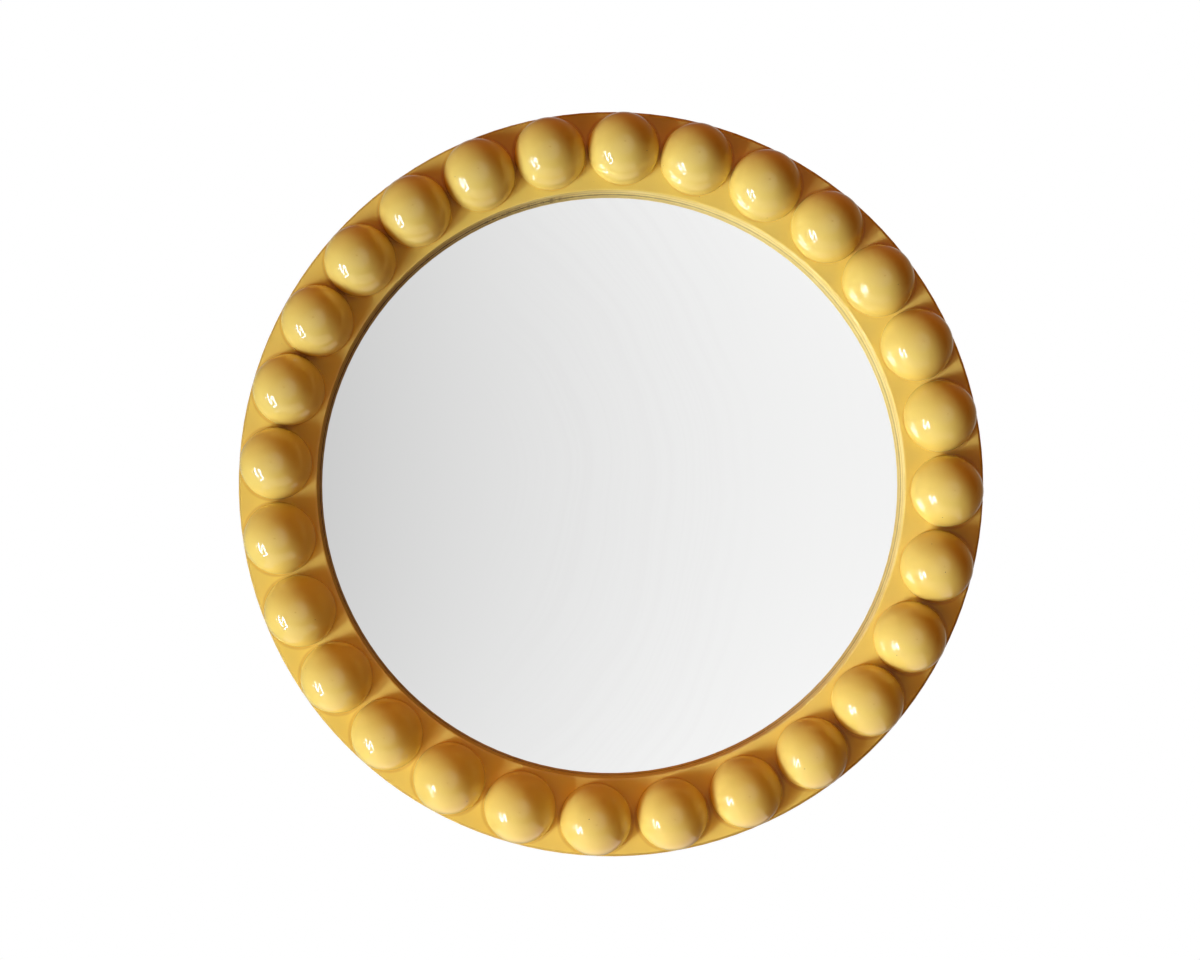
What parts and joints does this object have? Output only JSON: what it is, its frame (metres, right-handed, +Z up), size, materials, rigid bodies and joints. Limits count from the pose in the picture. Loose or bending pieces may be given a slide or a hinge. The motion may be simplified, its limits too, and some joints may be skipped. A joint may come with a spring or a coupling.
{
  "type": "round wall mirror",
  "caption": "Round wall mirror whose flat lacquered ring carries a row of half balls round a recessed glass, with hanging rings and turn buttons on its back.",
  "frame": {"origin": "centre of the ring in the plane of the wall, where the bumpers' flat ends lie", "axes": "+Z up, +X to the right seen from the front, +Y towards the wall, so the glass and the half balls face -Y"},
  "size_m": [0.6199, 0.0605, 0.62],
  "materials": {
    "yellow_lacquer": "satin gloss lacquer",
    "ball_lacquer": "high gloss lacquer",
    "zinc_steel": "zinc plated",
    "bright_wire": "nickel plated",
    "mirror": "polished",
    "hardboard": "matt",
    "rubber": "matt"
  },
  "bodies": {
    "root": {"frame_ring": "yellow_lacquer", "half_ball_01": "ball_lacquer", "half_ball_02": "ball_lacquer", "half_ball_03": "ball_lacquer", "half_ball_04": "ball_lacquer", "half_ball_05": "ball_lacquer", "half_ball_06": "ball_lacquer", "half_ball_07": "ball_lacquer", "half_ball_08": "ball_lacquer", "half_ball_09": "ball_lacquer", "half_ball_10": "ball_lacquer", "half_ball_11": "ball_lacquer", "half_ball_12": "ball_lacquer", "half_ball_13": "ball_lacquer", "half_ball_14": "ball_lacquer", "half_ball_15": "ball_lacquer", "half_ball_16": "ball_lacquer", "half_ball_17": "ball_lacquer", "half_ball_18": "ball_lacquer", "half_ball_19": "ball_lacquer", "half_ball_20": "ball_lacquer", "half_ball_21": "ball_lacquer", "half_ball_22": "ball_lacquer", "half_ball_23": "ball_lacquer", "half_ball_24": "ball_lacquer", "half_ball_25": "ball_lacquer", "half_ball_26": "ball_lacquer", "half_ball_27": "ball_lacquer", "half_ball_28": "ball_lacquer", "bead_screws": "zinc_steel", "mirror_glass": "mirror", "backing_board": "hardboard", "turn_button_screws": "zinc_steel", "hanger_strap_left": "zinc_steel", "hanger_strap_right": "zinc_steel", "hanger_screws": "zinc_steel", "bumper_1": "rubber", "bumper_2": "rubber", "bumper_3": "rubber", "bumper_4": "rubber"},
    "turn_button_1": {"turn_button_1": "zinc_steel"},
    "turn_button_2": {"turn_button_2": "zinc_steel"},
    "turn_button_3": {"turn_button_3": "zinc_steel"},
    "turn_button_4": {"turn_button_4": "zinc_steel"},
    "turn_button_5": {"turn_button_5": "zinc_steel"},
    "turn_button_6": {"turn_button_6": "zinc_steel"},
    "hanger_ring_left": {"hanger_ring_left": "bright_wire"},
    "hanger_ring_right": {"hanger_ring_right": "bright_wire"}
  },
  "joints": [
    {"name": "turn_button_1_turn", "type": "hinge", "parent": "root", "child": "turn_button_1", "pos_m": [0.1285, -0.006, 0.22257], "axis": [0, 1, 0], "continuous": true},
    {"name": "turn_button_2_turn", "type": "hinge", "parent": "root", "child": "turn_button_2", "pos_m": [0.257, -0.006, 0], "axis": [0, 1, 0], "continuous": true},
    {"name": "turn_button_3_turn", "type": "hinge", "parent": "root", "child": "turn_button_3", "pos_m": [0.1285, -0.006, -0.22257], "axis": [0, 1, 0], "continuous": true},
    {"name": "turn_button_4_turn", "type": "hinge", "parent": "root", "child": "turn_button_4", "pos_m": [-0.1285, -0.006, -0.22257], "axis": [0, 1, 0], "continuous": true},
    {"name": "turn_button_5_turn", "type": "hinge", "parent": "root", "child": "turn_button_5", "pos_m": [-0.257, -0.006, 0], "axis": [0, 1, 0], "continuous": true},
    {"name": "turn_button_6_turn", "type": "hinge", "parent": "root", "child": "turn_button_6", "pos_m": [-0.1285, -0.006, 0.22257], "axis": [0, 1, 0], "continuous": true},
    {"name": "hanger_ring_left_swing", "type": "hinge", "parent": "root", "child": "hanger_ring_left", "pos_m": [-0.196, -0.0035, 0.20965], "axis": [1, 0, 0], "range_deg": [0, 180]},
    {"name": "hanger_ring_right_swing", "type": "hinge", "parent": "root", "child": "hanger_ring_right", "pos_m": [0.196, -0.0035, 0.20965], "axis": [1, 0, 0], "range_deg": [0, 180]}
  ]
}
